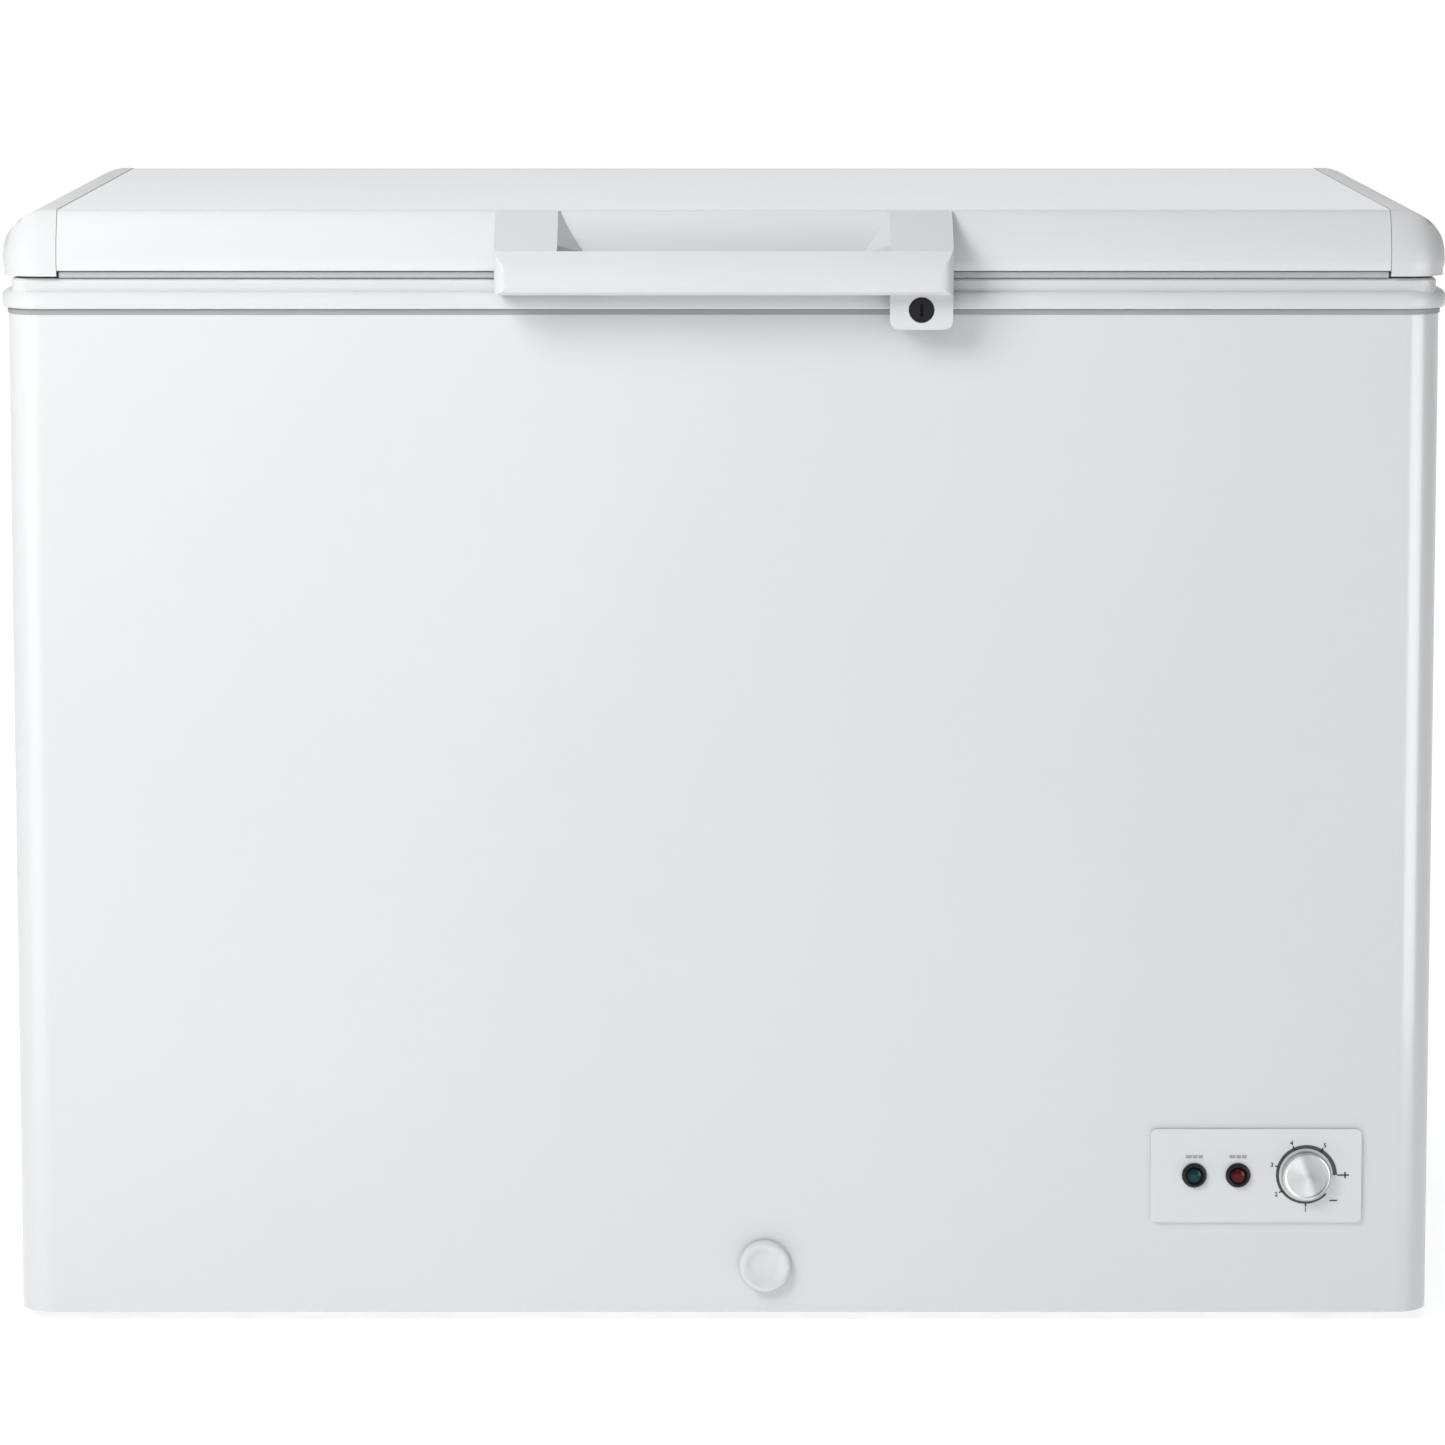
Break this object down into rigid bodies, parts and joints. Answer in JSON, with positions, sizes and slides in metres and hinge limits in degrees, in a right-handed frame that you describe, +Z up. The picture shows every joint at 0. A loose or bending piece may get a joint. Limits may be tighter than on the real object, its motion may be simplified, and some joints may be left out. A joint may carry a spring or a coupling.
{
  "type": "chest freezer",
  "caption": "White chest freezer with a lift-up insulated lid, bar handle with key lock, thermostat dial with lamps, and a drain.",
  "frame": {"origin": "on the floor, under the middle of the freezer's outline", "axes": "+X to the right seen from the front, +Y from the front to the back, +Z up; the lid's handle faces -Y"},
  "size_m": [1.11, 0.712, 0.868],
  "materials": {
    "white_steel": "glossy white powder coat",
    "lid_steel": "glossy white pre-painted sheet",
    "white_plastic": "satin white moulding",
    "fascia_plastic": "pale grey printed panel",
    "galvanised_steel": "galvanised",
    "bright_steel": "bright zinc",
    "liner_aluminium": "stucco embossed, pre-painted",
    "insulation": "polyurethane foam, matt",
    "gasket": "soft grey seal",
    "black_plastic": "satin black",
    "black_enamel": "black enamel",
    "copper": "drawn copper",
    "green_lens": "dark green tinted lens",
    "red_lens": "dark red tinted lens",
    "silver_plastic": "silver lacquer"
  },
  "bodies": {
    "cabinet": {"outer_wrap": "white_steel", "back_panel": "white_steel", "base_plate": "galvanised_steel", "insulation_foam": "insulation", "inner_liner": "liner_aluminium", "rim_frame": "white_plastic", "bay_panel": "galvanised_steel", "evaporator_tube": "copper", "condenser_tube": "copper", "foot_front_left": "black_plastic", "foot_front_right": "black_plastic", "foot_back_left": "black_plastic", "foot_back_right": "black_plastic", "drain_tube": "white_plastic", "control_fascia": "fascia_plastic", "power_lamp_bezel": "black_plastic", "power_lamp_lens": "green_lens", "alarm_lamp_bezel": "black_plastic", "alarm_lamp_lens": "red_lens", "thermostat_body": "black_plastic", "compressor_shell": "black_enamel", "compressor_bracket": "galvanised_steel", "compressor_grommet_1": "gasket", "compressor_grommet_2": "gasket", "compressor_grommet_3": "gasket", "compressor_grommet_4": "gasket", "terminal_cover": "black_plastic", "suction_pipe": "copper", "discharge_pipe": "copper", "filter_drier": "copper", "compressor_cover": "galvanised_steel", "cable_gland": "black_plastic", "side_grille": "white_plastic", "lock_striker": "bright_steel", "hinge_base_left": "galvanised_steel", "hinge_pin_left": "bright_steel", "hinge_spring_left": "bright_steel", "hinge_cover_left": "white_plastic", "hinge_base_right": "galvanised_steel", "hinge_pin_right": "bright_steel", "hinge_spring_right": "bright_steel", "hinge_cover_right": "white_plastic"},
    "lid": {"lid_outer_skin": "lid_steel", "lid_end_cap_left": "white_plastic", "lid_end_cap_right": "white_plastic", "lid_foam": "insulation", "lid_liner": "white_plastic", "lid_gasket": "gasket", "lid_handle": "white_plastic", "lock_housing": "white_plastic", "handle_screw_left": "bright_steel", "handle_screw_right": "bright_steel", "hinge_leaf_left": "galvanised_steel", "hinge_leaf_right": "galvanised_steel"},
    "lock": {"lock_cylinder": "black_plastic", "lock_cam": "bright_steel"},
    "thermostat": {"thermostat_knob": "silver_plastic", "thermostat_shaft": "bright_steel"},
    "drain_cap": {"drain_cap": "white_plastic"},
    "drain_plug": {"drain_plug": "white_plastic"}
  },
  "joints": [
    {"name": "lid_hinge", "type": "hinge", "parent": "cabinet", "child": "lid", "pos_m": [0, 0.343, 0.812], "axis": [-1, 0, 0], "range_deg": [0, 80]},
    {"name": "lock_turn", "type": "hinge", "parent": "lid", "child": "lock", "pos_m": [0.1505, -0.329, 0.7934], "axis": [0, -1, 0], "range_deg": [0, 90]},
    {"name": "thermostat_turn", "type": "hinge", "parent": "cabinet", "child": "thermostat", "pos_m": [0.4528, -0.312, 0.1175], "axis": [0, 1, 0], "range_deg": [0, 317]},
    {"name": "drain_cap_pull", "type": "slide", "parent": "cabinet", "child": "drain_cap", "axis": [0, -1, 0], "range_m": [0, 0.025]},
    {"name": "drain_plug_lift", "type": "slide", "parent": "cabinet", "child": "drain_plug", "axis": [0, 0, 1], "range_m": [0, 0.04]}
  ]
}
